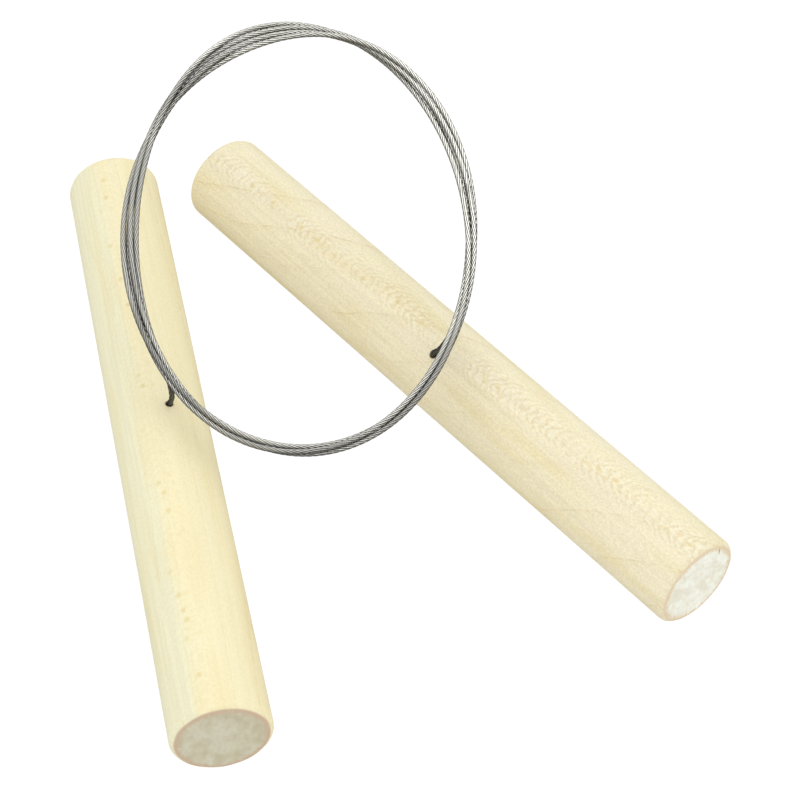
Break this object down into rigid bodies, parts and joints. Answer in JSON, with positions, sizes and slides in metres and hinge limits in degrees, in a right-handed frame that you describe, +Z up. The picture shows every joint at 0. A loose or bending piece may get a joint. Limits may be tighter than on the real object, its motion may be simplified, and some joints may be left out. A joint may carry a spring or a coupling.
{
  "type": "clay cutter",
  "caption": "Wire clay cutter: a coiled stranded steel wire held at each end by a drilled wooden dowel handle that swivels on it.",
  "frame": {"origin": "on the table, under the middle of the box round the two handles", "axes": "+Z up from the table, +Y away from the viewer, +X to the viewer's right"},
  "size_m": [0.084, 0.097, 0.0384],
  "materials": {
    "left_wood": "bare sanded pale hardwood",
    "right_wood": "bare sanded pale hardwood",
    "wire_steel": "bright stranded steel",
    "ferrule_metal": "plain crimped sleeve"
  },
  "bodies": {
    "wire": {"wire_coil": "wire_steel", "wire_lead_left": "wire_steel", "wire_lead_right": "wire_steel", "ferrule_left": "ferrule_metal", "ferrule_right": "ferrule_metal"},
    "left_handle": {"left_handle": "left_wood"},
    "right_handle": {"right_handle": "right_wood"}
  },
  "joints": [
    {"name": "left_swivel", "type": "hinge", "parent": "wire", "child": "left_handle", "pos_m": [-0.02672, -0.00243, 0.006], "axis": [0.2034, 0.0432, 0.9781], "range_deg": [-2, 30]},
    {"name": "right_swivel", "type": "hinge", "parent": "wire", "child": "right_handle", "pos_m": [0.00915, 0.00863, 0.006], "axis": [-0.383, -0.3214, 0.866], "range_deg": [-30, 1]}
  ]
}
